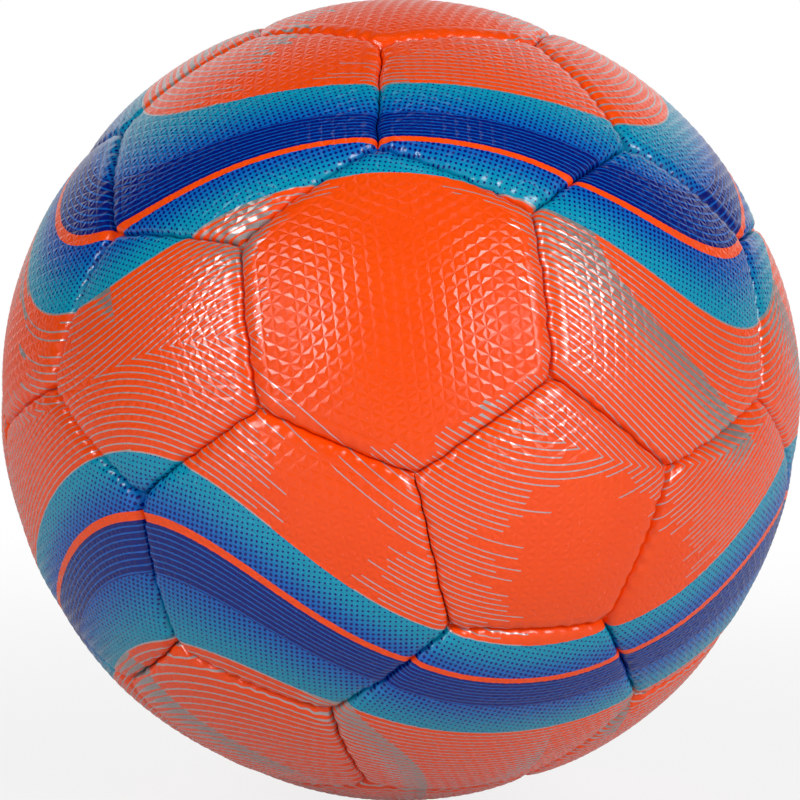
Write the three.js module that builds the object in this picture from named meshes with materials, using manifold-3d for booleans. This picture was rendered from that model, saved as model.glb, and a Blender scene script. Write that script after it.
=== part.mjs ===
import * as THREE from "three";
import { mergeVertices } from "three/addons/utils/BufferGeometryUtils.js";
import Module from "manifold-3d";

// A low-bounce football for indoor play: 20 hexagons and 12 pentagons, stitched over a stuffed bladder.
// Millimetres, +Z up through the middle of the top hexagon, origin at the centre of the ball.
// The hexagon at the front faces -Y and tilts up a little.

// Cover, in millimetres
const ballDiameter = 200.5; // over the crowns of the panels, 630 mm round
const crownRise = 1; // how far a panel's middle stands over its edges
const foldRadius = 2; // the fold at a panel's edge, which makes half of the groove over a seam
const laminateThickness = 4.5; // skin, foam and cloth, bonded into one sheet
const flangeHeight = 2.5; // how far a panel's turned-in edge stands under the laminate
const flangeTipWidth = 1;
const threadDiameter = 1;
const restingFlatRadius = 7; // the ball's weight flattens its lowest crown this much

// Bladder and filling
const bladderWall = 0.8;
const fillingDepth = 38;
const fillingCrown = 9; // how far the filling's middle stands over its edge

// Valve
const valveRecess = 0.9; // the valve's face under the crown of its panel
const valveNeckRadius = 6;
const valveBoreRadius = 2.7;
const valveFootRadius = 14;
const valveFootThickness = 1.6;
const plugRecess = 0.2; // the plug's face under the valve's face
const plugBulbRadius = 3.8;
const plugBulbLength = 4.5;
const plugTipRadius = 1.6;
const needleHoleRadius = 0.9;
const needleHoleFloor = 2; // rubber left under the needle hole
const patchWidth = 9;
const patchThickness = 0.8;

// Between pieces that touch
const pieceGap = 0.3;

// Fineness of the faceted shapes
const sideSteps = 3; // along one side of a panel
const crownRings = 3; // from a panel's middle to its fold
const innerRingShare = 0.5; // where the ring under a panel's middle lies
const threadSides = 4;
const bladderDetail = 4;
const roundSides = 24;
const holeSides = 12;
const arcSteps = 7;
const shortArcSteps = 2;
const sameLength = 0.01; // lengths this share apart count as the same

// What follows from these sizes
const crownRadius = ballDiameter / 2;
const foldDepth = crownRise + foldRadius;
const flangeRootDepth = crownRise + laminateThickness;
const flangeTipDepth = flangeRootDepth + flangeHeight;
const threadRadius = threadDiameter / 2;
const threadDrop = (threadRadius + pieceGap) * Math.SQRT2 - pieceGap / 2;
const threadNotch = threadDrop + threadRadius; // the bevel at a flange's tip, in which the thread lies
const notchDepth = flangeTipDepth - threadNotch;
const flangeThickness = pieceGap / 2 + threadNotch + flangeTipWidth;
const valveHoleRadius = valveNeckRadius + pieceGap;
const restingHeight = Math.sqrt(crownRadius ** 2 - restingFlatRadius ** 2);

const wasm = await Module();
wasm.setup();

function solidOf(geometry) {
  const bare = geometry.clone();
  bare.deleteAttribute("normal");
  bare.deleteAttribute("uv");
  const merged = mergeVertices(bare);
  const vertProperties = merged.getAttribute("position").array;
  const triVerts = new Uint32Array(merged.index.array);
  return new wasm.Manifold(new wasm.Mesh({ numProp: 3, vertProperties, triVerts }));
}

function geometryOf(solid) {
  const mesh = solid.getMesh();
  const geometry = new THREE.BufferGeometry();
  geometry.setAttribute("position", new THREE.BufferAttribute(mesh.vertProperties, mesh.numProp));
  geometry.setIndex(new THREE.BufferAttribute(mesh.triVerts, 1));
  geometry.computeVertexNormals();
  return geometry;
}

function geometryFrom(points, index) {
  const geometry = new THREE.BufferGeometry().setFromPoints(points);
  geometry.setIndex(index);
  geometry.computeVertexNormals();
  return geometry;
}

// The triangles between two rings of the same number of points, the first one nearer the middle.
function bandBetween(first, second, count) {
  const index = [];
  for (let i = 0; i < count; i += 1) {
    const next = (i + 1) % count;
    index.push(first + i, second + i, second + next);
    index.push(first + i, second + next, first + next);
  }
  return index;
}

function fanFrom(middle, ring, count, outwards) {
  const index = [];
  for (let i = 0; i < count; i += 1) {
    const next = (i + 1) % count;
    index.push(middle, ring + (outwards ? i : next), ring + (outwards ? next : i));
  }
  return index;
}

// A closed body of rings, from the middle of its top out over its edge and back to the middle of its underside.
function bodyOfRings(top, rings, bottom) {
  const count = rings[0].length;
  const points = [top, ...rings.flat(), bottom];
  const starts = rings.map((_, i) => 1 + i * count);
  const index = fanFrom(0, starts[0], count, true);
  for (let i = 1; i < rings.length; i += 1) {
    index.push(...bandBetween(starts[i - 1], starts[i], count));
  }
  index.push(...fanFrom(points.length - 1, starts.at(-1), count, false));
  return geometryFrom(points, index);
}

// Layout of the panels on a sphere of radius 1

// The twelve corners of an icosahedron, each the middle of a pentagon, turned so that
// one of its faces looks up and another one forwards.
function pentagonMiddles() {
  const golden = (1 + Math.sqrt(5)) / 2;
  const up = new THREE.Vector3(1, 1, 1).normalize();
  const front = new THREE.Vector3(1, 1, -1).normalize();
  const back = up.clone().multiplyScalar(front.dot(up)).sub(front).normalize();
  const right = back.clone().cross(up);
  const turn = new THREE.Matrix4().makeBasis(right, back, up).invert();
  const middles = [];
  for (const short of [-1, 1]) {
    for (const long of [-golden, golden]) {
      middles.push(new THREE.Vector3(0, short, long));
      middles.push(new THREE.Vector3(short, long, 0));
      middles.push(new THREE.Vector3(long, 0, short));
    }
  }
  return middles.map((middle) => middle.normalize().applyMatrix4(turn));
}

function areNeighbours(a, b) {
  return a !== b && a.angleTo(b) < Math.PI / 2;
}

// Points in turn round a direction, anticlockwise as seen from outside.
function inTurn(direction, points) {
  const start = points[0].clone().projectOnPlane(direction).normalize();
  const side = direction.clone().cross(start);
  const angle = (point) => Math.atan2(point.dot(side), point.dot(start));
  return points.slice().sort((a, b) => angle(a) - angle(b));
}

// A seam's corner: a third of the way along the icosahedron's edge.
function seamCorner(from, to) {
  return new THREE.Vector3().lerpVectors(from, to, 1 / 3).normalize();
}

function meanOf(points) {
  const sum = points.reduce((total, point) => total.add(point), new THREE.Vector3());
  return sum.divideScalar(points.length);
}

function panelLayout(kind, corners) {
  const flatMiddle = meanOf(corners);
  const direction = flatMiddle.clone().normalize();
  return { kind, direction, flatMiddle, corners: inTurn(direction, corners) };
}

function pentagonLayouts(middles) {
  return middles.map((middle) => {
    const around = middles.filter((other) => areNeighbours(middle, other));
    return panelLayout("pentagon", around.map((other) => seamCorner(middle, other)));
  });
}

function hexagonLayouts(middles) {
  const layouts = [];
  for (const [i, a] of middles.entries()) {
    for (const [j, b] of middles.slice(0, i).entries()) {
      for (const c of middles.slice(0, j)) {
        if (areNeighbours(a, b) && areNeighbours(b, c) && areNeighbours(c, a)) {
          const pairs = [[a, b], [b, a], [b, c], [c, b], [c, a], [a, c]];
          layouts.push(panelLayout("hexagon", pairs.map(([from, to]) => seamCorner(from, to))));
        }
      }
    }
  }
  return layouts;
}

// From the top down, and round the ball at each height.
function inReadingOrder(layouts) {
  const level = (layout) => Math.round(layout.direction.z * ballDiameter);
  const turn = (layout) => Math.atan2(layout.direction.x, -layout.direction.y);
  return layouts.slice().sort((a, b) => level(b) - level(a) || turn(a) - turn(b));
}

const middles = pentagonMiddles();
const pentagons = inReadingOrder(pentagonLayouts(middles));
const hexagons = inReadingOrder(hexagonLayouts(middles));
const lowestHexagon = hexagons.at(-1);

// The valve is in the hexagon nearest to this direction, behind and over the middle.
const valveSide = new THREE.Vector3(0, 2, 1).normalize();
const valveHexagon = hexagons.reduce((best, layout) =>
  layout.direction.dot(valveSide) > best.direction.dot(valveSide) ? layout : best,
);

// A seam's chords cut inside its arc by this share of the radius.
const [seamStart, seamEnd] = pentagons[0].corners;
const seamLength = seamStart.distanceTo(seamEnd);
const seamMiddle = meanOf([seamStart, seamEnd]).length();
const seamSag = 1 - Math.cos(Math.atan(seamLength / (2 * sideSteps) / seamMiddle));

// The same for the facets of the bladder, which is an icosahedron whose faces are cut up evenly.
const faceCorners = middles.filter((middle) => middle.angleTo(hexagons[0].direction) < Math.PI / 4);
const facetSide = faceCorners[0].distanceTo(faceCorners[1]) / (bladderDetail + 1);
const facetAngle = Math.atan(facetSide / Math.sqrt(3) / meanOf(faceCorners).length());
const bladderSag = 1 - Math.cos(facetAngle);

const flangeTipRadius = crownRadius - flangeTipDepth;
const bladderRadius = flangeTipRadius * (1 - seamSag) - pieceGap;
const bladderInnerRadius = bladderRadius - bladderWall;
const insideRadius = bladderInnerRadius * (1 - bladderSag) - pieceGap; // what lies against the bladder inside

// Cover

// Points along a panel's sides, on the flat polygon through its corners.
function rimOf(layout) {
  const { corners } = layout;
  return corners.flatMap((corner, i) => {
    const next = corners[(i + 1) % corners.length];
    const steps = Array.from({ length: sideSteps }, (_, step) => step / sideSteps);
    return steps.map((share) => new THREE.Vector3().lerpVectors(corner, next, share));
  });
}

function apothemOf(layout) {
  const [a, b] = layout.corners;
  return meanOf([a, b]).distanceTo(layout.flatMiddle) * crownRadius;
}

function onFloorOrOver(point) {
  return point.setZ(Math.max(point.z, -restingHeight));
}

// A ring round a panel, inset from its seams, at a depth under the crown.
function panelRing(layout, inset, depth) {
  const share = 1 - inset / apothemOf(layout);
  const radius = crownRadius - depth;
  const middle = layout.flatMiddle;
  return rimOf(layout).map((point) =>
    onFloorOrOver(middle.clone().lerp(point, share).normalize().multiplyScalar(radius)),
  );
}

// A panel's section from its crown to its fold, as pairs of inset and depth: flat in the middle
// and falling away towards its edge.
function crownSection(apothem) {
  const reach = apothem - foldRadius;
  return Array.from({ length: crownRings }, (_, i) => {
    const share = (i + 1) / crownRings;
    return [apothem - reach * share, crownRise * share ** 3];
  });
}

// The section from the bottom of the groove round the turned-in flange to the laminate's underside.
function flangeSection(apothem) {
  const seamSide = pieceGap / 2;
  return [
    [seamSide, foldDepth],
    [seamSide, notchDepth],
    [seamSide + threadNotch, flangeTipDepth],
    [flangeThickness, flangeTipDepth],
    [flangeThickness, flangeRootDepth],
    [apothem * (1 - innerRingShare), laminateThickness],
  ];
}

// The edge of the flat on which the ball stands, which only the lowest panel has.
function restingSection(layout, apothem) {
  const reach = restingFlatRadius * layout.flatMiddle.length();
  const inset = apothem - reach * Math.cos(Math.PI / layout.corners.length);
  return layout === lowestHexagon ? [[inset, 0]] : [];
}

function panelGeometry(layout) {
  const apothem = apothemOf(layout);
  const section = [
    ...restingSection(layout, apothem),
    ...crownSection(apothem),
    ...flangeSection(apothem),
  ];
  const rings = section.map(([inset, depth]) => panelRing(layout, inset, depth));
  const crown = layout.direction.clone().multiplyScalar(crownRadius);
  const underside = layout.direction.clone().multiplyScalar(crownRadius - laminateThickness);
  return bodyOfRings(onFloorOrOver(crown), rings, underside);
}

// A rod as wide as the holes round the valve's neck, which runs past the crown and the bladder's wall.
function valveHoleGeometry() {
  const length = crownRadius - insideRadius + 2 * flangeTipDepth;
  const hole = new THREE.CylinderGeometry(valveHoleRadius, valveHoleRadius, length, roundSides);
  hole.rotateX(Math.PI / 2);
  hole.translate(0, 0, (crownRadius + insideRadius) / 2);
  return hole.applyQuaternion(valveTurn());
}

function valveTurn() {
  const up = new THREE.Vector3(0, 0, 1);
  return new THREE.Quaternion().setFromUnitVectors(up, valveHexagon.direction);
}

function valvePanelGeometry() {
  return geometryOf(solidOf(panelGeometry(valveHexagon)).subtract(solidOf(valveHoleGeometry())));
}

// Seam thread

// A run of thread along one seam, in the notch between the tips of two flanges.
function threadRun(from, to) {
  const across = from.clone().cross(to).normalize();
  const radius = crownRadius - notchDepth - threadDrop;
  const rings = Array.from({ length: sideSteps + 1 }, (_, step) => {
    const outwards = new THREE.Vector3().lerpVectors(from, to, step / sideSteps).normalize();
    const middle = outwards.clone().multiplyScalar(radius);
    return Array.from({ length: threadSides }, (_, side) => {
      const angle = (2 * Math.PI * side) / threadSides;
      return middle
        .clone()
        .addScaledVector(outwards, threadRadius * Math.cos(angle))
        .addScaledVector(across, threadRadius * Math.sin(angle));
    });
  });
  return bodyOfRings(meanOf(rings[0]), rings, meanOf(rings.at(-1)));
}

function seamEnds() {
  const corners = pentagons.flatMap((layout) => layout.corners);
  const isSeam = (a, b) => a.distanceTo(b) < seamLength * (1 + sameLength);
  return corners.flatMap((a, i) => corners.slice(0, i).filter((b) => isSeam(a, b)).map((b) => [a, b]));
}

function seamThreadGeometry() {
  const runs = seamEnds().map(([from, to]) => solidOf(threadRun(from, to)));
  return geometryOf(runs.reduce((net, run) => net.add(run)));
}

// Bladder and filling

function bladderGeometry() {
  const outside = new THREE.IcosahedronGeometry(bladderRadius, bladderDetail);
  const inside = new THREE.IcosahedronGeometry(bladderInnerRadius, bladderDetail);
  const shell = solidOf(outside).subtract(solidOf(inside));
  return geometryOf(shell.subtract(solidOf(valveHoleGeometry())));
}

function turnedGeometry(profile, sides) {
  const points = profile.map(([radius, height]) => new THREE.Vector2(radius, height));
  return new THREE.LatheGeometry(points, sides).rotateX(Math.PI / 2);
}

// Points on a sphere round the origin, between two distances from the Z axis.
function domeProfile(radius, from, to, steps) {
  return Array.from({ length: steps + 1 }, (_, i) => {
    const angle = THREE.MathUtils.lerp(Math.asin(from / radius), Math.asin(to / radius), i / steps);
    return [radius * Math.sin(angle), radius * Math.cos(angle)];
  });
}

// Loose filling, settled into the bottom of the bladder.
function fillingGeometry() {
  const edge = -insideRadius + fillingDepth - fillingCrown;
  const edgeRadius = Math.sqrt(insideRadius ** 2 - edge ** 2);
  const under = domeProfile(insideRadius, 0, edgeRadius, arcSteps).map(([x, y]) => [x, -y]);
  const over = Array.from({ length: arcSteps }, (_, i) => {
    const angle = (Math.PI / 2) * ((i + 1) / arcSteps);
    return [edgeRadius * Math.cos(angle), edge + fillingCrown * Math.sin(angle)];
  });
  over.at(-1)[0] = 0;
  return turnedGeometry([...under, ...over], roundSides);
}

// Valve, drawn with its axis along +Z and turned to its panel afterwards

const valveFaceHeight = crownRadius - valveRecess;
const footUnderRadius = insideRadius - valveFootThickness;

function valveHousingGeometry() {
  const foot = domeProfile(insideRadius, valveNeckRadius, valveFootRadius, shortArcSteps);
  const under = domeProfile(footUnderRadius, valveBoreRadius, valveFootRadius, shortArcSteps);
  const face = [
    [valveNeckRadius, valveFaceHeight],
    [valveBoreRadius, valveFaceHeight],
  ];
  return turnedGeometry([...under, ...foot.reverse(), ...face, under[0]], roundSides);
}

function valvePlugGeometry() {
  const radius = valveBoreRadius - pieceGap;
  const face = valveFaceHeight - plugRecess;
  const bulbTop = Math.sqrt(footUnderRadius ** 2 - plugBulbRadius ** 2) - pieceGap;
  const tip = bulbTop - plugBulbLength;
  const profile = [
    [0, tip],
    [plugTipRadius, tip],
    [plugBulbRadius, bulbTop - plugBulbLength / 2],
    [plugBulbRadius, bulbTop],
    [radius, bulbTop],
    [radius, face],
    [needleHoleRadius, face],
    [needleHoleRadius, tip + needleHoleFloor],
    [0, tip + needleHoleFloor],
  ];
  return turnedGeometry(profile, holeSides);
}

// A ring of cloth glued under the valve's panel, round the neck of the valve.
function valvePatchGeometry() {
  const sides = valveHexagon.corners.length;
  const ringReach = (apothemOf(valveHexagon) * innerRingShare) / Math.cos(Math.PI / sides);
  const facetRadius = ringReach / 2 / Math.cos(Math.PI / sides / sideSteps);
  const laminateRadius = crownRadius - laminateThickness;
  const topRadius = laminateRadius - facetRadius ** 2 / (2 * laminateRadius) - pieceGap;
  const rim = valveHoleRadius + patchWidth;
  const top = domeProfile(topRadius, valveHoleRadius, rim, shortArcSteps);
  const under = domeProfile(topRadius - patchThickness, valveHoleRadius, rim, shortArcSteps);
  return turnedGeometry([...under, ...top.reverse(), under[0]], roundSides);
}

// Materials

function skin() {
  return new THREE.MeshStandardMaterial({ color: 0xff4d00, roughness: 0.42, metalness: 0 });
}

function waxedThread() {
  return new THREE.MeshStandardMaterial({ color: 0x3a1408, roughness: 0.7, metalness: 0 });
}

function blackRubber() {
  return new THREE.MeshStandardMaterial({ color: 0x17171a, roughness: 0.6, metalness: 0 });
}

function valveRubber() {
  return new THREE.MeshStandardMaterial({ color: 0x26262a, roughness: 0.55, metalness: 0 });
}

function backingCloth() {
  return new THREE.MeshStandardMaterial({ color: 0xd9d4c8, roughness: 0.9, metalness: 0 });
}

function fibreFilling() {
  return new THREE.MeshStandardMaterial({ color: 0xb9b4a8, roughness: 1, metalness: 0 });
}

// Assembly

function named(name, geometry, material) {
  const mesh = new THREE.Mesh(geometry, material);
  mesh.name = name;
  return mesh;
}

function panelMesh(layout, i) {
  const name = `${layout.kind}_panel_${String(i + 1).padStart(2, "0")}`;
  return named(name, panelGeometry(layout), skin());
}

function cover() {
  const group = new THREE.Group();
  const plainHexagons = hexagons.filter((layout) => layout !== valveHexagon);
  group.add(...plainHexagons.map(panelMesh), ...pentagons.map(panelMesh));
  group.add(named("valve_panel", valvePanelGeometry(), skin()));
  group.add(named("seam_thread", seamThreadGeometry(), waxedThread()));
  return group;
}

function valve() {
  const group = new THREE.Group();
  group.quaternion.copy(valveTurn());
  group.add(named("valve_housing", valveHousingGeometry(), valveRubber()));
  group.add(named("valve_plug", valvePlugGeometry(), blackRubber()));
  group.add(named("valve_patch", valvePatchGeometry(), backingCloth()));
  return group;
}

const ball = new THREE.Group();
ball.name = "low_bounce_ball";
ball.add(cover());
ball.add(valve());
ball.add(named("bladder", bladderGeometry(), blackRubber()));
ball.add(named("filling", fillingGeometry(), fibreFilling()));

export default ball;
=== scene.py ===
import math

import bpy
import numpy as np
from mathutils import Matrix, Vector, geometry


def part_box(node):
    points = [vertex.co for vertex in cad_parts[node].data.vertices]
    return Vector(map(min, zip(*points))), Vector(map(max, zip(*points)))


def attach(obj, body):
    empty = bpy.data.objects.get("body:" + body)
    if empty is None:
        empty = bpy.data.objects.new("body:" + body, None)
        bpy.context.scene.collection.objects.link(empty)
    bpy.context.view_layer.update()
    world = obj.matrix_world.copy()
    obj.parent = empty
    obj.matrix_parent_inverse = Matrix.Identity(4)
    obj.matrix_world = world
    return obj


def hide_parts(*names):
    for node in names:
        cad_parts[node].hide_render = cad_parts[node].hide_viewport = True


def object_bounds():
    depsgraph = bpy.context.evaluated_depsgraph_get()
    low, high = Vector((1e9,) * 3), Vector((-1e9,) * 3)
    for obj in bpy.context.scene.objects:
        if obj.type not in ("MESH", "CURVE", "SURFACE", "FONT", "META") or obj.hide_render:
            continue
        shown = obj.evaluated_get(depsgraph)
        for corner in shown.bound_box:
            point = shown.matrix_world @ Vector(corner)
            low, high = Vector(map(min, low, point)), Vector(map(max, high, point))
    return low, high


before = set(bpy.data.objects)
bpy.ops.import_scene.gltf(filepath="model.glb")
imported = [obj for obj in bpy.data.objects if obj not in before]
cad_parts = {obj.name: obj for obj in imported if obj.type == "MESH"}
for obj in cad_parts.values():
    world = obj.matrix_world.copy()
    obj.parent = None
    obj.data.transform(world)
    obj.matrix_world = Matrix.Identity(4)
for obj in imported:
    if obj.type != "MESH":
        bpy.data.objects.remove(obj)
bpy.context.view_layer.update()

# A stitched, embossed ball: its panels and its filling are rebuilt here in finer detail, and its
# other nodes get materials. Lengths are in millimetres until a mesh is made.
MM = 0.001

# The ball, as in the source
BALL_DIAMETER = 200.5
CROWN_RADIUS = BALL_DIAMETER / 2
CROWN_RISE = 1
LAMINATE_THICKNESS = 4.5
FLANGE_HEIGHT = 2.5
FLANGE_TIP_WIDTH = 1
THREAD_NOTCH = 1.48
PIECE_GAP = 0.3
SEAM_SIDE = PIECE_GAP / 2
FLANGE_ROOT_DEPTH = CROWN_RISE + LAMINATE_THICKNESS
FLANGE_TIP_DEPTH = FLANGE_ROOT_DEPTH + FLANGE_HEIGHT
FLANGE_THICKNESS = SEAM_SIDE + THREAD_NOTCH + FLANGE_TIP_WIDTH
NOTCH_DEPTH = FLANGE_TIP_DEPTH - THREAD_NOTCH
RESTING_HEIGHT = 100.0053
VALVE_NECK_RADIUS = 6
VALVE_HOLE_RADIUS = VALVE_NECK_RADIUS + PIECE_GAP

# Crowns and their folds, in a softer shape than the source has
CROWN_FALL = 0.9
CROWN_POWER = 3.2
FOLD_RADIUS = 2.4
FOLD_POWER = 2.6
FOLD_DEPTH = 3.9
FOLD_CLEARANCE = 0.1
SEAM_TOP_SIDE = 0.06
CORNER_SOFTNESS = 0.9

# Embossing: a triangular lattice whose cells are low three-sided pyramids
CELL_SIDE = 3.35
GROOVE_SHARE = 0.24
GROOVE_STEP = 0.03
PYRAMID_RISE = 0.13
EMBOSS_SPAN = (1.6, 3.9)
LATTICE_CLEARANCE = 0.25

# Rings of points: how many points lie along a side, and how far each ring is from the seam
SIDE_SAMPLES = 64
CROWN_INSETS = (2.5, 2.05, 1.62, 1.25, 0.92, 0.6, 0.3, SEAM_TOP_SIDE)

# The hole for the valve: the points in a ring, and each ring's radius and drop
HOLE_SAMPLES = 48
HOLE_RINGS = ((8.2, 0), (7.4, 0.08), (6.85, 0.3), (6.5, 0.65), (VALVE_HOLE_RADIUS, 1.2))

# Stands for the depth of a point that follows the crown
ON_CROWN = math.nan

# Stitched edges: puckers at the stitches, seams that stray sideways, and a slight sag here and there
STITCHES = 11
PUCKER_DEPTH = 0.38
PUCKER_INSET = 1.2
PUCKER_WIDTH = 1.35
PUCKER_VARIETY = 0.7
PUCKER_VARIETY_PERIOD = 6.0
SEAM_WAVE = 0.42
SEAM_WAVE_PERIOD = 3.1
SEAM_WAVE_SPAN = (0.4, 4.0)
SAG = 0.22
SAG_PERIOD = 13.0
SAG_SPAN = (1.0, 16.0)

# Loose fibre
FILLING_SPACING = 1.8
LUMP_DEPTH = 7.0
LUMP_PERIOD = 15.0
TUFT_DEPTH = 2.2
TUFT_PERIOD = 5.0

# Seeds of the noise, and the large numbers that mix a cell's place with a seed
PUCKER_SEED = 11
SEAM_WAVE_SEEDS = (21, 22, 23)
SAG_SEED = 31
LUMP_SEED = 41
TUFT_SEED = 42
PLACE_FACTORS = (73856093, 19349663, 83492791)
SEED_FACTOR = 2654435761
MIX_FACTOR = 1274126177

# Tolerances: for points that coincide, triangles along a border, and lengths near nothing
SAME_POINT = 1e-6
BORDER_SLACK = 0.01
TINY = 1e-9

# Layout: the cosine between neighbouring corners of an icosahedron, and a hexagon's sides
NEIGHBOUR_COSINE = 1 / math.sqrt(5)
HEXAGON_SIDES = 6

# The print's wavy bands: the heights of their waves and their two rims, as latitudes in radians
UPPER_EVEN_WAVE = -0.30
LOWER_EVEN_WAVE = 0.10
LOWER_ODD_WAVE = 0.26
UPPER_BAND = (0.52, 0.90)
LOWER_BAND = (-0.33, -0.72)

# Across a band, as shares of its width: colours that fade, lines, and levels that a dot passes
TEAL_FADE = (0.05, 0.34)
ORANGE_LINE = (0.335, 0.385)
NAVY_FROM = 0.36
BLUE_FROM = 0.66
BLUE_FADE = (0.6, 1.0)
FINE_LINE_PITCH = 0.034
FINE_LINE_WIDTH = 0.24
DOT_PITCH = 1.3
TEAL_DOT_LEVEL = (-3.6, 1.45)
BLUE_DOT_LEVEL = (3.4, -1.9)

# Silver lines outside the bands, with a pitch in radians, which thicken here and there
LINE_PITCH = 0.0175
LINE_WIDTH = 0.2
THICKENING = 0.62
THICKENING_SPAN = (0.55, 1.0)
THICKENINGS_ROUND = 11
THICKENING_SLANT = 1.1
THICKENING_BEND = 2.2
THICKENING_BEND_SCALE = 9.0
PATCH_SPAN = (0.5, 0.58)
PATCH_SCALE = 19.0
DULL_SPAN = (0.3, 0.8)

# Places without silver lines: clearings, and some panels, marked for that, up to a ragged edge
CLEARING_LEVEL = 0.36
CLEARING_SCALE = 15.0
CLEARING_CHANCE = 0.09
RAGGED_SCALE = 90.0
RAGGED_REACH = 0.10
RAGGED_START = -0.03
RAGGED_CHANCE = 0.05

# Marked panels: how near they lie to a crest, in degrees round the ball, and between which heights
CREST_SPACING = 120
MARKED_TURN = 10
MARKED_HEIGHTS = (0.2, 0.5)

# Maps: how many millimetres one unit of a UV map stands for
MAP_UNIT = 100

# The skin's finish, with scales per metre and the grain's height in metres
MOTTLE_SCALE = 60.0
MOTTLE_SPAN = (0.3, 0.7)
GLOSS_SCALE = 900.0
GLOSS_SPAN = (0.2, 0.8)
SKIN_ROUGHNESS = (0.21, 0.28)
SILVER_ROUGHNESS = 0.06
SILVER_METALLIC = 0.5
GRAIN_SCALE = 2600.0
GRAIN_HEIGHT = 0.00003
GRAIN_STRENGTH = 0.6

# Plain finishes, in the same units: two colours and their scale, roughness, bump height and scale
PLAIN_FINISHES = {
    "backing_cloth": ((217, 212, 200), (190, 184, 170), 700, (0.85, 0.95), 0.0002, 1800),
    "fibre_filling": ((185, 180, 168), (120, 122, 130), 160, (0.9, 1.0), 0.001, 300),
    "waxed_thread": ((70, 26, 12), (40, 14, 8), 900, (0.5, 0.7), 0.0001, 3000),
    "bladder_rubber": ((24, 24, 26), (34, 34, 38), 120, (0.5, 0.7), 0.0001, 900),
    "valve_rubber": ((38, 38, 42), (30, 30, 33), 400, (0.45, 0.6), 0.00004, 2500),
    "plug_rubber": ((26, 26, 28), (18, 18, 20), 400, (0.4, 0.55), 0.00004, 2500),
}
PLAIN_SPAN = (0.25, 0.75)
ROUGHNESS_FINENESS = 3
NODE_FINISHES = {
    "seam_thread": "waxed_thread",
    "bladder": "bladder_rubber",
    "valve_housing": "valve_rubber",
    "valve_plug": "plug_rubber",
    "valve_patch": "backing_cloth",
    "filling": "fibre_filling",
}

# Camera, in metres, with its lens in millimetres
CAMERA_DIRECTION = (0.0163, -0.9939, 0.1050)
CAMERA_UP = (-0.0208, 0.1043, 0.9940)
CAMERA_DISTANCE = 1.176
CAMERA_LENS = 210.7
CAMERA_SENSOR = 36

# Lamps: azimuth and elevation in degrees, distance, width and height in metres, power in watts
LAMPS = {
    "left_box": (-39, 24, 1.3, 0.19, 0.64, 6.95),
    "right_box": (39, 24, 1.3, 0.19, 0.64, 7.05),
    "back_left_box": (-150, 28, 1.5, 0.9, 0.8, 1.0),
    "back_right_box": (150, 28, 1.5, 0.9, 0.8, 1.0),
    "top_box": (0, 80, 1.3, 0.3, 0.2, 0.3),
}

# The studio's light over a span of directions: what gloss mirrors, and the fill on the ball
MIRRORED_SPAN = (0.5, 1.0)
MIRRORED_LIGHT = (0.01, 0.9)
FILL_DEPTH_SPAN = (-0.2, 0.8)
FILL_DEPTH_LIGHT = (0.38, 0.65)
FILL_RIGHT_SPAN = (0.1, 0.9)
FILL_RIGHT_LIGHT = (0.0, 1.3)
FILL_HEIGHT_SPAN = (0.05, 0.6)
FILL_HEIGHT_SHARE = (1.0, 0.2)

# The floor, in metres: pale, and glowing for the camera, less so near the ball
FLOOR_HALF = 3.0
FLOOR_GAP = 0.05 * MM
FLOOR_COLOUR = (0.64, 0.64, 0.64, 1)
FLOOR_SCALE = 8.0
FLOOR_SPAN = (0.3, 0.7)
FLOOR_ROUGHNESS = (0.55, 0.65)
FLOOR_MIRRORED = 0.25
GLOW_SPAN = (0.1, 0.55)
GLOW = (0.84, 1.0)

# The colour sockets of a Mix node
MIX_FIRST = 6
MIX_SECOND = 7
MIX_RESULT = 2


def unit(vectors):
    vectors = np.asarray(vectors, float)
    return vectors / np.linalg.norm(vectors, axis=-1, keepdims=True)


def eased(share):
    return share * share * (3 - 2 * share)


def smooth_step(span, value):
    low, high = span
    return eased(np.clip((value - low) / (high - low), 0, 1))


def as_share(wave):
    """From a wave between -1 and 1 to a share between 0 and 1."""
    return 0.5 + 0.5 * wave


def circle_points(numbers, count):
    """Points on a circle of radius 1, at these numbers of so many to a turn."""
    turns = 2 * math.pi * numbers / count
    return np.c_[np.cos(turns), np.sin(turns)]


def add_object(name, data):
    made = bpy.data.objects.new(name, data)
    bpy.context.scene.collection.objects.link(made)
    return made


# Noise

def hashed(cells, seed):
    """A number from -1 to 1 for each cell of a grid."""
    x, y, z = np.moveaxis(cells.astype(np.int64) * PLACE_FACTORS, -1, 0)
    mixed = x ^ y ^ z ^ (seed * SEED_FACTOR)
    mixed = (mixed ^ (mixed >> 13)) * MIX_FACTOR & 0x7FFFFFFF
    mixed = (mixed ^ (mixed >> 16)) & 0xFFFFFF
    return mixed / 0x7FFFFF - 1


def noise(points, period, seed):
    """Smooth noise from -1 to 1 at points, with this period."""
    scaled = points / period
    low = np.floor(scaled)
    share = eased(scaled - low)
    total = np.zeros(len(points))
    for corner in np.ndindex(2, 2, 2):
        corner = np.array(corner)
        weight = np.prod(np.where(corner == 1, share, 1 - share), axis=-1)
        total += weight * hashed(low + corner, seed)
    return total


# Layout of the panels

def pentagon_middles():
    """The corners of an icosahedron, turned so that a hexagon's middle comes to the top."""
    golden = (1 + math.sqrt(5)) / 2
    up = unit([1, 1, 1])
    front = unit([1, 1, -1])
    back = unit(up * front.dot(up) - front)
    turn = np.array([np.cross(back, up), back, up])
    middles = []
    for short in (-1, 1):
        for long in (-golden, golden):
            middles += [(0, short, long), (short, long, 0), (long, 0, short)]
    return unit(middles) @ turn.T


def in_turn(direction, points):
    """The points in their order round a direction."""
    start = unit(points[0] - direction * direction.dot(points[0]))
    side = np.cross(direction, start)
    return points[np.argsort(np.arctan2(points @ side, points @ start))]


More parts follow.
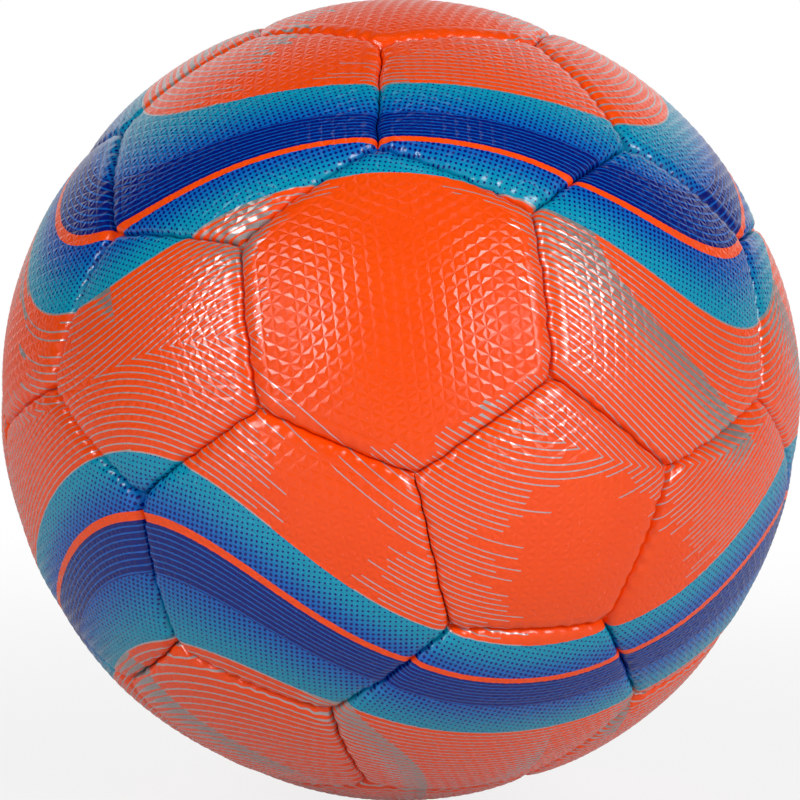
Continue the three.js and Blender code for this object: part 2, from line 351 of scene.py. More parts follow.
def seam_corner(a, b):
    """The corner beside a pentagon's middle, a third of the way to a neighbour's."""
    return unit(a * 2 / 3 + b / 3)


def layout(corners):
    """A panel's direction from the ball's centre, and its corners in turn."""
    corners = np.array(corners)
    direction = unit(corners.mean(0))
    return direction, in_turn(direction, corners)


def panel_layouts():
    """The layouts of the pentagons and then of the hexagons."""
    middles = pentagon_middles()
    meets = np.isclose(middles @ middles.T, NEIGHBOUR_COSINE)
    layouts = []
    for middle, met in zip(middles, meets):
        layouts.append(layout([seam_corner(middle, other) for other in middles[met]]))
    for i in range(len(middles)):
        for j in range(i):
            for k in range(j):
                if meets[i, j] and meets[j, k] and meets[i, k]:
                    trio = [middles[n] for n in (i, j, k)]
                    pairs = [(a, b) for a in trio for b in trio if a is not b]
                    layouts.append(layout([seam_corner(a, b) for a, b in pairs]))
    return layouts


# A panel's flat shape: its points are first set out on the plane through its corners

class Outline:
    """A regular polygon with its middle at a distance from the ball's centre."""

    def __init__(self, corners):
        self.sides = len(corners)
        middle = corners.mean(0)
        self.height = np.linalg.norm(middle) * CROWN_RADIUS
        self.reach = np.linalg.norm(corners[0] - middle) * CROWN_RADIUS
        self.apothem = self.reach * math.cos(math.pi / self.sides)

    def ring(self, inset):
        """Points round the polygon, at a distance inside its sides."""
        corners = circle_points(np.arange(self.sides + 1), self.sides) * self.reach
        steps = np.arange(SIDE_SAMPLES)[:, None] / SIDE_SAMPLES
        sides = [a + (b - a) * steps for a, b in zip(corners, corners[1:])]
        return np.concatenate(sides) * (1 - inset / self.apothem)

    def even(self, flat):
        """From the plane to lengths along the ball's surface."""
        reach = np.linalg.norm(flat, axis=1, keepdims=True)
        bend = np.arctan(reach / self.height) * CROWN_RADIUS
        return flat * bend / np.maximum(reach, TINY)

    def flat(self, even):
        """From lengths along the ball's surface to the plane."""
        reach = np.linalg.norm(even, axis=1, keepdims=True)
        return even * np.tan(reach / CROWN_RADIUS) * self.height / np.maximum(reach, TINY)

    def side_insets(self, flat):
        """Each point's distance from each side, across the plane."""
        normals = circle_points(np.arange(self.sides) + 0.5, self.sides)
        return self.apothem - flat @ normals.T


class Lattice:
    """The embossing's points, their heights, and the edges that its facets need."""

    def __init__(self, reach):
        self.reach = reach
        self.points = []
        self.heights = []
        self.edges = []
        self.numbers = {}
        rows = 2 * (int(reach / CELL_SIDE) + 2)
        for i in range(-rows, rows):
            for j in range(-rows, rows):
                self.add_cell(((i, j), (i + 1, j), (i, j + 1)))
                self.add_cell(((i + 1, j), (i + 1, j + 1), (i, j + 1)))

    def add_cell(self, cell):
        """A triangle with a groove round it and a pyramid inside, if it is within reach."""
        along = np.array([CELL_SIDE, 0])
        across = np.array([CELL_SIDE / 2, CELL_SIDE * math.sqrt(3) / 2])
        corners = [a * along + b * across for a, b in cell]
        middle = sum(corners) / 3
        if np.linalg.norm(middle) > self.reach:
            return
        outer = [self.number(key, place, 0) for key, place in zip(cell, corners)]
        inner = []
        for key, place in zip(cell, corners):
            moved = place + (middle - place) * GROOVE_SHARE
            inner.append(self.number((cell, key), moved, GROOVE_STEP))
        apex = self.number((cell, "apex"), middle, PYRAMID_RISE)
        for n in range(3):
            self.edges.append((outer[n], outer[n - 1]))
            self.edges.append((inner[n], inner[n - 1]))
            self.edges.append((outer[n], inner[n]))
            self.edges.append((inner[n], apex))

    def number(self, key, place, height):
        """The number of the point with this key, which is added where it is new."""
        if key not in self.numbers:
            self.numbers[key] = len(self.points)
            self.points.append(place)
            self.heights.append(height)
        return self.numbers[key]


def hole_ring(radius):
    return circle_points(np.arange(HOLE_SAMPLES), HOLE_SAMPLES) * radius


def closed_loop(start, count):
    """The edges of a loop of points, numbered from a start."""
    return [(start + i, start + (i + 1) % count) for i in range(count)]


def triangulated(points, edges):
    """Triangles between flat points that keep the edges, and which point each corner was."""
    coords = [Vector(point) for point in points.tolist()]
    made = geometry.delaunay_2d_cdt(coords, edges, [], 0, SAME_POINT)
    places = np.array([tuple(place) for place in made[0]])
    origins = np.array([origin[0] for origin in made[3]])
    return places, made[2], origins


def turned(face, places):
    """The face with its corners anticlockwise."""
    a, b, c = (places[i] for i in face[:3])
    area = (b[0] - a[0]) * (c[1] - a[1]) - (b[1] - a[1]) * (c[0] - a[0])
    return tuple(face) if area > 0 else tuple(reversed(face))


class Template:
    """A panel's flat points and its faces, the same for every panel of its kind."""

    def __init__(self, outline, has_hole):
        self.outline = outline
        self.has_hole = has_hole
        self.parts = []
        self.faces = []
        self.smooth = []
        self.lining = []
        ring, rim = self.add_crown()
        under = self.add_edge(ring)
        if has_hole:
            self.add_hole(rim, under)
        else:
            self.close_underside(under)
        flats, depths, rises = zip(*self.parts)
        self.flat = np.concatenate(flats)
        self.depth = np.concatenate(depths)
        self.rise = np.concatenate(rises)
        self.even = outline.even(self.flat)
        self.insets = outline.side_insets(self.flat)

    def add_points(self, flat, depth=ON_CROWN, rise=0.0):
        """Adds points at a depth under the ball's surface, and returns their numbers."""
        start = sum(len(part[0]) for part in self.parts)
        self.parts.append((flat, np.full(len(flat), depth), np.full(len(flat), rise)))
        return list(range(start, start + len(flat)))

    def add_face(self, face, lining, smooth=True):
        self.faces.append(face)
        self.smooth.append(smooth)
        self.lining.append(lining)

    def embossing(self):
        """The lattice's points, heights and edges, clear of the first ring and of the hole."""
        lattice = Lattice(self.outline.reach + CELL_SIDE)
        points = np.array(lattice.points)
        edges = np.array(lattice.edges)
        inset = self.outline.side_insets(self.outline.flat(points)).min(1)
        keep = inset > CROWN_INSETS[0] + LATTICE_CLEARANCE
        if self.has_hole:
            keep &= np.linalg.norm(points, axis=1) > HOLE_RINGS[0][0] + LATTICE_CLEARANCE
        number = np.cumsum(keep) - 1
        edges = number[edges[keep[edges].all(1)]]
        return points[keep], np.array(lattice.heights)[keep], edges

    def add_crown(self):
        """The embossed top. Returns the numbers of its outer ring and of the hole's rim."""
        ring = self.outline.even(self.outline.ring(CROWN_INSETS[0]))
        rim = hole_ring(HOLE_RINGS[0][0]) if self.has_hole else np.zeros((0, 2))
        points, heights, edges = self.embossing()
        fixed = len(ring) + len(rim)
        lines = closed_loop(0, len(ring)) + closed_loop(len(ring), len(rim))
        lines += [tuple(edge) for edge in (edges + fixed).tolist()]
        points = np.concatenate([ring, rim, points])
        places, faces, origins = triangulated(points, lines)
        heights = np.concatenate([np.zeros(fixed), heights])
        self.add_points(self.outline.flat(places), rise=heights[origins])
        self.add_crown_faces(faces, places, origins < fixed)
        number = {origin: i for i, origin in enumerate(origins.tolist())}
        outer = [number[i] for i in range(len(ring))]
        return outer, [number[i] for i in range(len(ring), fixed)]

    def add_crown_faces(self, faces, places, on_border):
        """Adds the triangles inside the first ring, without those in the hole."""
        middles = np.array([places[list(face)].mean(0) for face in faces])
        inset = self.outline.side_insets(self.outline.flat(middles)).min(1)
        inside = inset > CROWN_INSETS[0] - BORDER_SLACK
        if self.has_hole:
            rim_apothem = HOLE_RINGS[0][0] * math.cos(math.pi / HOLE_SAMPLES)
            inside &= np.linalg.norm(middles, axis=1) > rim_apothem - BORDER_SLACK
        for face, kept in zip(faces, inside):
            if kept:
                smooth = bool(on_border[list(face)].any())
                self.add_face(turned(face, places), False, smooth)

    def add_edge(self, ring):
        """The fold, the seam's side, the flange and the underside, ring by ring."""
        for inset in CROWN_INSETS[1:]:
            ring = self.next_ring(ring, inset)
        ring = self.next_ring(ring, SEAM_TOP_SIDE, FOLD_DEPTH)
        ring = self.next_ring(ring, SEAM_SIDE, NOTCH_DEPTH)
        ring = self.next_ring(ring, SEAM_SIDE + THREAD_NOTCH, FLANGE_TIP_DEPTH, True)
        ring = self.next_ring(ring, FLANGE_THICKNESS, FLANGE_TIP_DEPTH, True)
        ring = self.next_ring(ring, FLANGE_THICKNESS, FLANGE_ROOT_DEPTH, True)
        return self.next_ring(ring, self.outline.apothem / 2, LAMINATE_THICKNESS, True)

    def next_ring(self, last, inset, depth=ON_CROWN, lining=False):
        """Adds a ring at a distance from the seam, and joins it to the last one."""
        new = self.add_points(self.outline.ring(inset), depth)
        self.add_band(last, new, lining)
        return new

    def add_band(self, first, second, lining):
        """Faces between two rings of as many points."""
        for i, (a, b) in enumerate(zip(first, second)):
            j = (i + 1) % len(first)
            self.add_face((a, b, second[j], first[j]), lining)

    def close_underside(self, ring):
        """Closes the last ring with a fan of faces round the panel's middle."""
        (middle,) = self.add_points(np.zeros((1, 2)), LAMINATE_THICKNESS)
        for a, b in zip(ring, ring[1:] + ring[:1]):
            self.add_face((b, a, middle), True)

    def add_hole(self, rim, under):
        """The hole for the valve, from its rim down to the underside."""
        last = rim
        for radius, drop in HOLE_RINGS[1:]:
            new = self.add_points(self.outline.flat(hole_ring(radius)), rise=-drop)
            self.add_band(new, last, False)
            last = new
        bottom = self.outline.flat(hole_ring(VALVE_HOLE_RADIUS))
        new = self.add_points(bottom, LAMINATE_THICKNESS)
        self.add_band(new, last, True)
        self.zip_up(new, under)

    def angles(self, ring):
        """Each point's angle round the panel's middle, rising along the ring."""
        flat = np.concatenate([part[0] for part in self.parts])
        return np.unwrap(np.arctan2(flat[ring, 1], flat[ring, 0]))

    def zip_up(self, inner, outer):
        """Joins two rings of different counts, by angle."""
        first = self.angles(inner)
        second = self.angles(outer)
        i = 0
        j = 0
        while i < len(inner) or j < len(outer):
            next_i = first[i % len(inner)] + 2 * math.pi * (i // len(inner))
            next_j = second[j % len(outer)] + 2 * math.pi * (j // len(outer))
            a = inner[i % len(inner)]
            b = outer[j % len(outer)]
            if j >= len(outer) or (i < len(inner) and next_i <= next_j):
                self.add_face((a, inner[(i + 1) % len(inner)], b), True)
                i += 1
            else:
                self.add_face((a, outer[(j + 1) % len(outer)], b), True)
                j += 1


# A panel's shape in space

def soft_least(distances):
    """The least of each row, rounded off where two are nearly as small."""
    least = distances.min(1)
    spread = np.exp(-(distances - least[:, None]) / CORNER_SOFTNESS).sum(1)
    return least - CORNER_SOFTNESS * np.log(spread)


def crown_depth(inset, apothem):
    """How far the crown and its fold fall away under the ball's surface."""
    share = np.clip(1 - inset / apothem, 0, 1)
    into_fold = np.clip(1 - inset / FOLD_RADIUS, 0, 1)
    fold = FOLD_RADIUS * (1 - np.sqrt(1 - into_fold**FOLD_POWER))
    return CROWN_FALL * share**CROWN_POWER + fold


def pucker(template, points):
    """How much deeper the stitches pull the surface."""
    total = np.zeros(len(points))
    outline = template.outline
    length = 2 * outline.reach * math.sin(math.pi / outline.sides)
    for side in range(outline.sides):
        turn = 2 * math.pi * (side + 0.5) / outline.sides
        along = template.flat @ np.array([-math.sin(turn), math.cos(turn)])
        phase = 2 * math.pi * along * STITCHES / length
        inset = template.insets[:, side]
        near = np.exp(-(((inset - PUCKER_INSET) / PUCKER_WIDTH) ** 2))
        total += near * as_share(np.cos(phase))
    vary = 1 + PUCKER_VARIETY * noise(points, PUCKER_VARIETY_PERIOD, PUCKER_SEED)
    return PUCKER_DEPTH * total * vary


def outside_depth(template, points, inset):
    """How deep the outside lies, with its puckers, sag and embossing."""
    depth = crown_depth(inset, template.outline.apothem) + pucker(template, points)
    sag = SAG * as_share(noise(points, SAG_PERIOD, SAG_SEED))
    depth = depth + sag * (1 - smooth_step(SAG_SPAN, inset))
    depth = depth - template.rise * smooth_step(EMBOSS_SPAN, inset)
    return np.minimum(depth, FOLD_DEPTH - FOLD_CLEARANCE)


def seam_shift(points, inset, depth):
    """How far a seam strays sideways. Panels that share it stray alike."""
    wave = [noise(points, SEAM_WAVE_PERIOD, seed) for seed in SEAM_WAVE_SEEDS]
    near = 1 - smooth_step(SEAM_WAVE_SPAN, inset)
    over = 1 - smooth_step((FOLD_DEPTH, NOTCH_DEPTH), depth)
    return np.stack(wave, 1) * (SEAM_WAVE * near * over)[:, None]


def panel_points(template, direction, corners):
    """The template's points in space, shaped, and never lower than the ball rests."""
    first = unit(corners[0] - direction * direction.dot(corners[0]))
    second = np.cross(direction, first)
    flat = template.flat
    place = direction * template.outline.height + flat[:, :1] * first + flat[:, 1:] * second
    surface = unit(place) * CROWN_RADIUS
    inset = np.maximum(soft_least(template.insets), 0.0)
    outside = outside_depth(template, surface, inset)
    depth = np.where(np.isnan(template.depth), outside, template.depth)
    shifted = surface + seam_shift(surface, inset, depth)
    points = unit(shifted) * (CROWN_RADIUS - depth)[:, None]
    points[:, 2] = np.maximum(points[:, 2], -RESTING_HEIGHT)
    return points


def add_map(mesh, name, values):
    layer = mesh.uv_layers.new(name=name)
    corners = np.zeros(len(mesh.loops), np.int32)
    mesh.loops.foreach_get("vertex_index", corners)
    layer.data.foreach_set("uv", values[corners].astype(np.float32).ravel())


def make_mesh(name, points, template, maps):
    mesh = bpy.data.meshes.new(name)
    mesh.from_pydata((points * MM).tolist(), [], template.faces)
    mesh.polygons.foreach_set("use_smooth", template.smooth)
    for key, values in maps.items():
        add_map(mesh, key, values)
    mesh.update()
    mesh.validate()
    return mesh


# Nodes of materials and of the world

class Nodes:
    """Short calls for the nodes of a tree."""

    def __init__(self, tree):
        self.tree = tree

    def new(self, kind, **values):
        node = self.tree.nodes.new(kind)
        for key, value in values.items():
            setattr(node, key, value)
        return node

    def put(self, socket, value):
        """Links the socket to another, or sets it to a number or a colour."""
        if isinstance(value, bpy.types.NodeSocket):
            self.tree.links.new(value, socket)
        else:
            socket.default_value = value

    def put_all(self, node, *values):
        """Sets or links a node's first sockets, and returns its result."""
        for socket, value in zip(node.inputs, values):
            self.put(socket, value)
        return node.outputs[0]

    def math(self, operation, *values):
        return self.put_all(self.new("ShaderNodeMath", operation=operation), *values)

    def ramp(self, value, span, result=(0.0, 1.0), kind="LINEAR"):
        """The result over a span of the value, which stays the same beyond its ends."""
        node = self.new("ShaderNodeMapRange", interpolation_type=kind)
        return self.put_all(node, value, *span, *result)

    def step(self, value, span, result=(0.0, 1.0)):
        """A ramp with soft ends."""
        return self.ramp(value, span, result, "SMOOTHSTEP")

    def mix(self, share, a, b):
        node = self.new("ShaderNodeMix", data_type="RGBA")
        self.put(node.inputs["Factor"], share)
        self.put(node.inputs[MIX_FIRST], a)
        self.put(node.inputs[MIX_SECOND], b)
        return node.outputs[MIX_RESULT]

    def noise(self, scale, coordinate, detail=2.0):
        node = self.new("ShaderNodeTexNoise")
        self.put(node.inputs["Vector"], coordinate)
        self.put(node.inputs["Scale"], scale)
        self.put(node.inputs["Detail"], detail)
        return node.outputs["Fac"]

    def chance(self, number):
        """A number from 0 to 1 for each whole number."""
        node = self.new("ShaderNodeTexWhiteNoise", noise_dimensions="1D")
        self.put(node.inputs["W"], number)
        return node.outputs["Value"]

    def bump(self, height, distance, strength=1.0):
        node = self.new("ShaderNodeBump")
        self.put(node.inputs["Height"], height)
        self.put(node.inputs["Distance"], distance)
        self.put(node.inputs["Strength"], strength)
        return node.outputs[0]

    def place(self, space="Object"):
        return self.new("ShaderNodeTexCoord").outputs[space]

    def parts(self, vector):
        node = self.new("ShaderNodeSeparateXYZ")
        self.put(node.inputs[0], vector)
        return node.outputs

    def map_parts(self, name):
        return self.parts(self.new("ShaderNodeUVMap", uv_map=name).outputs[0])

    def rays(self):
        """1 for a ray from the camera, and 1 for one that gloss or glass sends on."""
        path = self.new("ShaderNodeLightPath").outputs
        sent_on = self.math("MAXIMUM", path["Is Glossy Ray"], path["Is Transmission Ray"])
        return path["Is Camera Ray"], sent_on


class Finish(Nodes):
    """The nodes of a new material."""

    def __init__(self, name):
        self.material = bpy.data.materials.new(name)
        self.material.use_nodes = True
        super().__init__(self.material.node_tree)
        self.shader = self.tree.nodes["Principled BSDF"]

    def set(self, name, value):
        self.put(self.shader.inputs[name], value)


def colour(red, green, blue):
    """Linear colour from one written in sRGB, 0 to 255."""
    def linear(value):
        value /= 255
        return value / 12.92 if value <= 0.04045 else ((value + 0.055) / 1.055) ** 2.4
    return (linear(red), linear(green), linear(blue), 1.0)


ORANGE = colour(251, 77, 0)
MOTTLED_ORANGE = colour(249, 74, 0)
NAVY = colour(0, 20, 114)
BLUE = colour(0, 92, 188)
TEAL = colour(0, 150, 182)
SILVER = colour(192, 180, 180)
DULL_SILVER = colour(168, 159, 157)


# The print

def across(m, value, span):
    """How far across a span a value lies: 0 and 1 at its ends, and more or less beyond them."""
    low, high = span
    return m.math("DIVIDE", m.math("SUBTRACT", value, low), high - low)


def between(m, value, low, high):
    over = m.math("GREATER_THAN", value, low)
    return m.math("MULTIPLY", over, m.math("LESS_THAN", value, high))


def gap_to(m, share, band):
    """How far outside a band a point lies, as a latitude. It is below 0 inside the band."""
    outside = m.math("MAXIMUM", m.math("MULTIPLY", share, -1.0), m.math("SUBTRACT", share, 1.0))
    return m.math("MULTIPLY", outside, abs(band[1] - band[0]))


def stripes(m, value, pitch, width):
    """1 on lines that take this share of their pitch."""
    phase = m.math("FRACT", m.math("DIVIDE", value, pitch))
    return m.math("LESS_THAN", phase, width)


def halftone(m, u, v):
    """From -2 between the dots to 2 at their middles, on a grid that is turned by 45 degrees."""
    turn = 2 * math.pi * MAP_UNIT / DOT_PITCH / math.sqrt(2)
    first = m.math("COSINE", m.math("MULTIPLY", m.math("ADD", u, v), turn))
    second = m.math("COSINE", m.math("MULTIPLY", m.math("SUBTRACT", u, v), turn))
    return m.math("ADD", first, second)


def ink_dots(m, dots, share, level):
    """1 on dots that grow or shrink across a band, as the level that they pass changes."""
    slope, start = level
    passed = m.math("MULTIPLY_ADD", share, slope, start)
    return m.math("GREATER_THAN", m.math("SUBTRACT", dots, passed), 0.0)


def band_shares(m, x, front, latitude):
    """How far across each band a point lies. Both have three waves, which fade at the poles."""
    xx = m.math("MULTIPLY", x, x)
    ff = m.math("MULTIPLY", front, front)
    even = m.math("MULTIPLY", front, m.math("SUBTRACT", ff, m.math("MULTIPLY", xx, 3.0)))
    odd = m.math("MULTIPLY", x, m.math("SUBTRACT", m.math("MULTIPLY", ff, 3.0), xx))
    upper = m.math("MULTIPLY_ADD", even, UPPER_EVEN_WAVE, latitude)
    lower = m.math("MULTIPLY_ADD", even, LOWER_EVEN_WAVE, latitude)
    lower = m.math("MULTIPLY_ADD", odd, LOWER_ODD_WAVE, lower)
    return across(m, upper, UPPER_BAND), across(m, lower, LOWER_BAND)


def band_colour(m, share):
    """From a band's first rim: dotted teal, an orange line, navy with fine lines, dotted blue."""
    u, v, _ = m.map_parts("print")
    dots = halftone(m, u, v)
    teal = m.mix(m.step(share, TEAL_FADE), TEAL, BLUE)
    teal = m.mix(ink_dots(m, dots, share, TEAL_DOT_LEVEL), teal, NAVY)
    navy = m.mix(stripes(m, share, FINE_LINE_PITCH, FINE_LINE_WIDTH), NAVY, BLUE)
    blue = m.mix(m.step(share, BLUE_FADE), BLUE, TEAL)
    blue = m.mix(ink_dots(m, dots, share, BLUE_DOT_LEVEL), blue, NAVY)
    band = m.mix(m.math("GREATER_THAN", share, NAVY_FROM), teal, navy)
    band = m.mix(m.math("GREATER_THAN", share, BLUE_FROM), band, blue)
    return m.mix(between(m, share, *ORANGE_LINE), band, ORANGE)


def line_width(m, place, x, front, latitude):
    """The silver lines' share of their pitch, larger towards one end of slanted patches."""
    angle = m.math("ARCTAN2", x, front)
    turns = m.math("MULTIPLY", angle, THICKENINGS_ROUND / (2 * math.pi))
    slanted = m.math("MULTIPLY_ADD", latitude, THICKENING_SLANT, turns)
    bend = m.noise(THICKENING_BEND_SCALE, place, detail=1.0)
    slanted = m.math("MULTIPLY_ADD", bend, THICKENING_BEND, slanted)
    thick = m.step(m.math("FRACT", slanted), THICKENING_SPAN)
    here = m.step(m.noise(PATCH_SCALE, place, detail=0.0), PATCH_SPAN)
    return m.math("MULTIPLY_ADD", m.math("MULTIPLY", thick, here), THICKENING, LINE_WIDTH)


def left_out(m, place, line_chance):
    """1 where a silver line isn't printed. Each line ends at a place of its own."""
    clearing = m.noise(CLEARING_SCALE, place, detail=0.0)
    clearing = m.math("MULTIPLY_ADD", line_chance, CLEARING_CHANCE, clearing)
    cleared = m.math("LESS_THAN", clearing, CLEARING_LEVEL)
    from_seam, marked, _ = m.map_parts("edge")
    ragged = m.noise(RAGGED_SCALE, place, detail=0.0)
    ragged = m.math("MULTIPLY_ADD", ragged, RAGGED_REACH, RAGGED_START)
    ragged = m.math("MULTIPLY_ADD", line_chance, RAGGED_CHANCE, ragged)
    bare = m.math("MULTIPLY", marked, m.math("GREATER_THAN", from_seam, ragged))
    return m.math("MAXIMUM", bare, cleared)


def silver_lines(m, place, away, width):
    """1 on the silver lines, which follow the bands at even distances."""
    line_chance = m.chance(m.math("FLOOR", m.math("DIVIDE", away, LINE_PITCH)))
    printed = m.math("SUBTRACT", 1.0, left_out(m, place, line_chance))
    return m.math("MULTIPLY", stripes(m, away, LINE_PITCH, width), printed)


def skin_gloss(m, place, silver):
    """Gloss with a fine grain. Silver is duller, and half a metal."""
    gloss = m.step(m.noise(GLOSS_SCALE, place), GLOSS_SPAN, SKIN_ROUGHNESS)
    m.set("Roughness", m.math("MULTIPLY_ADD", silver, SILVER_ROUGHNESS, gloss))
    m.set("Metallic", m.math("MULTIPLY", silver, SILVER_METALLIC))
    m.set("Normal", m.bump(m.noise(GRAIN_SCALE, place), GRAIN_HEIGHT, GRAIN_STRENGTH))


def printed_skin():
    """The panels' outside: two wavy bands in blues, and silver lines on orange."""
    m = Finish("printed_skin")
    place = m.place()
    direction = m.put_all(m.new("ShaderNodeVectorMath", operation="NORMALIZE"), place)
    x, y, z = m.parts(direction)
    front = m.math("MULTIPLY", y, -1.0)
    latitude = m.math("ARCSINE", z)
    upper, lower = band_shares(m, x, front, latitude)
    in_upper = between(m, upper, 0.0, 1.0)
    in_lower = between(m, lower, 0.0, 1.0)
    in_band = m.math("MAXIMUM", in_upper, in_lower)
    upper_share = m.math("MULTIPLY", in_upper, upper)
    share = m.math("ADD", upper_share, m.math("MULTIPLY", in_lower, lower))
    away = m.math("MINIMUM", gap_to(m, upper, UPPER_BAND), gap_to(m, lower, LOWER_BAND))
    width = line_width(m, place, x, front, latitude)
    silver = silver_lines(m, place, away, width)
    silver = m.math("MULTIPLY", silver, m.math("SUBTRACT", 1.0, in_band))
    mottle = m.step(m.noise(MOTTLE_SCALE, place, detail=3.0), MOTTLE_SPAN)
    base = m.mix(mottle, ORANGE, MOTTLED_ORANGE)
    base = m.mix(silver, base, m.mix(m.step(width, DULL_SPAN), SILVER, DULL_SILVER))
    m.set("Base Color", m.mix(in_band, base, band_colour(m, share)))
    skin_gloss(m, place, silver)
    return m.material


def plain_finish(name):
    """A finish of two colours that mingle, with its own roughness and bump."""
    first, second, scale, rough, bump_height, bump_scale = PLAIN_FINISHES[name]
    m = Finish(name)
    place = m.place()
    mingled = m.noise(scale, place, detail=3.0)
    m.set("Base Color", m.mix(mingled, colour(*first), colour(*second)))
    worn = m.noise(scale * ROUGHNESS_FINENESS, place)
    m.set("Roughness", m.step(worn, PLAIN_SPAN, rough))
    m.set("Normal", m.bump(m.noise(bump_scale, place, detail=3.0), bump_height))
    return m.material


# Pieces

def node_along(direction, names):
    """The node in this direction from the ball's centre."""
    def nearness(name):
        low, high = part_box(name)
        return (low + high).normalized().dot(Vector(direction))
    return max(names, key=nearness)


def is_marked(direction, sides):
    """Whether a panel is left nearly without lines: a hexagon under a crest of the upper band."""
    turn = math.degrees(math.atan2(direction[0], -direction[1])) % CREST_SPACING
    under_crest = min(turn, CREST_SPACING - turn) < MARKED_TURN
    low, high = MARKED_HEIGHTS
    return sides == HEXAGON_SIDES and under_crest and low < direction[2] < high


def panel_maps(template, marked):
    """Lengths along the surface for the dots, and the distance from the seam with the mark."""
    edge = np.clip(soft_least(template.insets), 0, None) / MAP_UNIT
    mark = np.full(len(edge), float(marked))
    return {"print": template.even / MAP_UNIT, "edge": np.c_[edge, mark]}


def make_panels(cloth):
    skin = printed_skin()
    names = [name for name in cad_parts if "panel" in name]
    templates = {}
    for direction, corners in panel_layouts():
        name = node_along(direction, names)
        has_hole = name == "valve_panel"
        kind = (len(corners), has_hole)
        if kind not in templates:
            templates[kind] = Template(Outline(corners), has_hole)
        template = templates[kind]
        maps = panel_maps(template, is_marked(direction, len(corners)))
        points = panel_points(template, direction, corners)
        mesh = make_mesh(name + "_skin", points, template, maps)
        mesh.materials.append(skin)
        mesh.materials.append(cloth)
        mesh.polygons.foreach_set("material_index", np.array(template.lining, np.int32))
        piece = add_object(name + "_skin", mesh)
        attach(piece, "root")
        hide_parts(name)


def even_copy(source, spacing):
    """A copy of a node's mesh with small faces of one size, made by a voxel remesh."""
    holder = add_object("even_copy", source.data.copy())
    holder.matrix_world = source.matrix_world
    remesh = holder.modifiers.new("remesh", "REMESH")
    remesh.mode = "VOXEL"
    remesh.voxel_size = spacing * MM
    evaluated = holder.evaluated_get(bpy.context.evaluated_depsgraph_get())
    mesh = bpy.data.meshes.new_from_object(evaluated)
    mesh.transform(source.matrix_world)
    bpy.data.objects.remove(holder)
    return mesh


def make_filling(fibre):
    """The loose fibre: the node's shape with lumps and hollows, all of them inside it."""
    mesh = even_copy(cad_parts["filling"], FILLING_SPACING)
    count = len(mesh.vertices)
    points = np.empty(count * 3)
    normals = np.empty(count * 3)
    mesh.vertices.foreach_get("co", points)
    mesh.vertices.foreach_get("normal", normals)
    points = points.reshape(count, 3) / MM
    lump = LUMP_DEPTH * as_share(noise(points, LUMP_PERIOD, LUMP_SEED))
    tuft = TUFT_DEPTH * as_share(noise(points, TUFT_PERIOD, TUFT_SEED))
    points -= normals.reshape(count, 3) * (lump + tuft)[:, None]
    mesh.vertices.foreach_set("co", (points * MM).ravel())
    mesh.polygons.foreach_set("use_smooth", [True] * len(mesh.polygons))
    mesh.materials.clear()
    mesh.materials.append(fibre)
    piece = add_object("filling_fibre", mesh)
    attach(piece, "root")
    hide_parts("filling")


def finish_nodes(finishes):
    for name, finish in NODE_FINISHES.items():
        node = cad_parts[name]
        node.data.materials.clear()
        node.data.materials.append(finishes[finish])


# Camera, light and surroundings

def make_camera():
    data = bpy.data.cameras.new("camera")
    data.lens = CAMERA_LENS
    data.sensor_width = CAMERA_SENSOR
    camera = add_object("camera", data)
    z = Vector(CAMERA_DIRECTION).normalized()
    x = Vector(CAMERA_UP).cross(z).normalized()
    y = z.cross(x)
    turn = Matrix((x, y, z)).transposed().to_4x4()
    camera.matrix_world = Matrix.Translation(z * CAMERA_DISTANCE) @ turn
    bpy.context.scene.camera = camera


def soft_box(name, azimuth, elevation, distance, width, height, power):
    """A lamp that faces the ball from an azimuth, 0 at the front, and an elevation."""
    data = bpy.data.lights.new(name, "AREA")
    data.shape = "RECTANGLE"
    data.size = width
    data.size_y = height
    data.energy = power
    azimuth = math.radians(azimuth)
    elevation = math.radians(elevation)
    level = math.cos(elevation)
    x = math.sin(azimuth) * level
    y = -math.cos(azimuth) * level
    towards = Vector((x, y, math.sin(elevation)))
    lamp = add_object(name, data)
    lamp.location = towards * distance
    lamp.rotation_euler = towards.to_track_quat("Z", "Y").to_euler()


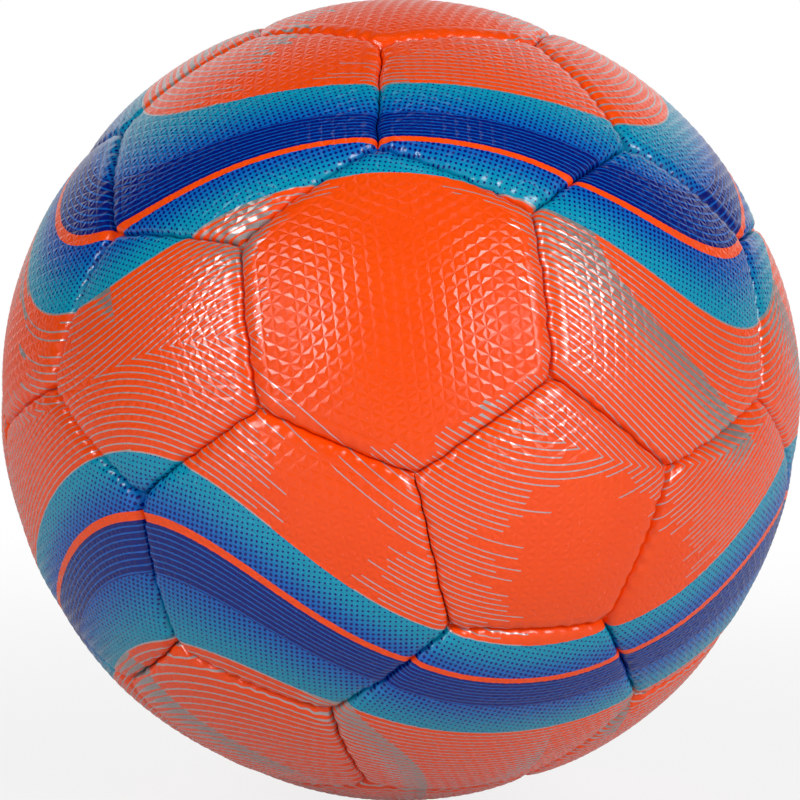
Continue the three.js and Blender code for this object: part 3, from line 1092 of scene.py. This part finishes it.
def make_world():
    """White for the camera, dark in front for gloss, and a fill that lights the ball."""
    world = bpy.data.worlds.new("studio")
    world.use_nodes = True
    bpy.context.scene.world = world
    w = Nodes(world.node_tree)
    x, y, z = w.parts(w.place("Generated"))
    from_camera, mirrored = w.rays()
    mirrored_light = w.math("MULTIPLY", mirrored, w.ramp(y, MIRRORED_SPAN, MIRRORED_LIGHT))
    fill = w.ramp(y, FILL_DEPTH_SPAN, FILL_DEPTH_LIGHT)
    fill = w.math("ADD", fill, w.ramp(x, FILL_RIGHT_SPAN, FILL_RIGHT_LIGHT))
    fill = w.math("MULTIPLY", fill, w.ramp(z, FILL_HEIGHT_SPAN, FILL_HEIGHT_SHARE))
    fill = w.math("MULTIPLY", w.math("SUBTRACT", 1.0, mirrored), fill)
    light = w.math("MAXIMUM", from_camera, w.math("ADD", mirrored_light, fill))
    background = w.tree.nodes["Background"]
    w.put(background.inputs["Strength"], light)
    w.put(background.inputs["Color"], (1, 1, 1, 1))


def floor_finish():
    """A pale floor that shows the ball's shadow, and glows into the white further away."""
    m = Finish("pale_floor")
    m.set("Base Color", FLOOR_COLOUR)
    rough = m.noise(FLOOR_SCALE, m.place())
    m.set("Roughness", m.step(rough, FLOOR_SPAN, FLOOR_ROUGHNESS))
    from_camera, mirrored = m.rays()
    seen = m.math("MAXIMUM", from_camera, m.math("MULTIPLY", mirrored, FLOOR_MIRRORED))
    away = m.new("ShaderNodeVectorMath", operation="LENGTH")
    m.put(away.inputs[0], m.place())
    glow = m.step(away.outputs["Value"], GLOW_SPAN, GLOW)
    emission = m.new("ShaderNodeEmission").outputs[0]
    blend = m.new("ShaderNodeMixShader")
    surface = m.put_all(blend, m.math("MULTIPLY", seen, glow), m.shader.outputs[0], emission)
    m.put(m.tree.nodes["Material Output"].inputs["Surface"], surface)
    return m.material


def make_floor():
    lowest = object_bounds()[0][2]
    mesh = bpy.data.meshes.new("floor")
    sides = ((-1, -1), (1, -1), (1, 1), (-1, 1))
    corners = [(x * FLOOR_HALF, y * FLOOR_HALF, 0) for x, y in sides]
    mesh.from_pydata(corners, [], [(0, 1, 2, 3)])
    mesh.materials.append(floor_finish())
    floor = add_object("floor", mesh)
    floor.location.z = lowest - FLOOR_GAP


make_camera()
finishes = {name: plain_finish(name) for name in PLAIN_FINISHES}
make_panels(finishes["backing_cloth"])
make_filling(finishes["fibre_filling"])
finish_nodes(finishes)
for name, lamp in LAMPS.items():
    soft_box(name, *lamp)
make_world()
make_floor()
bpy.context.scene.view_settings.view_transform = "Standard"
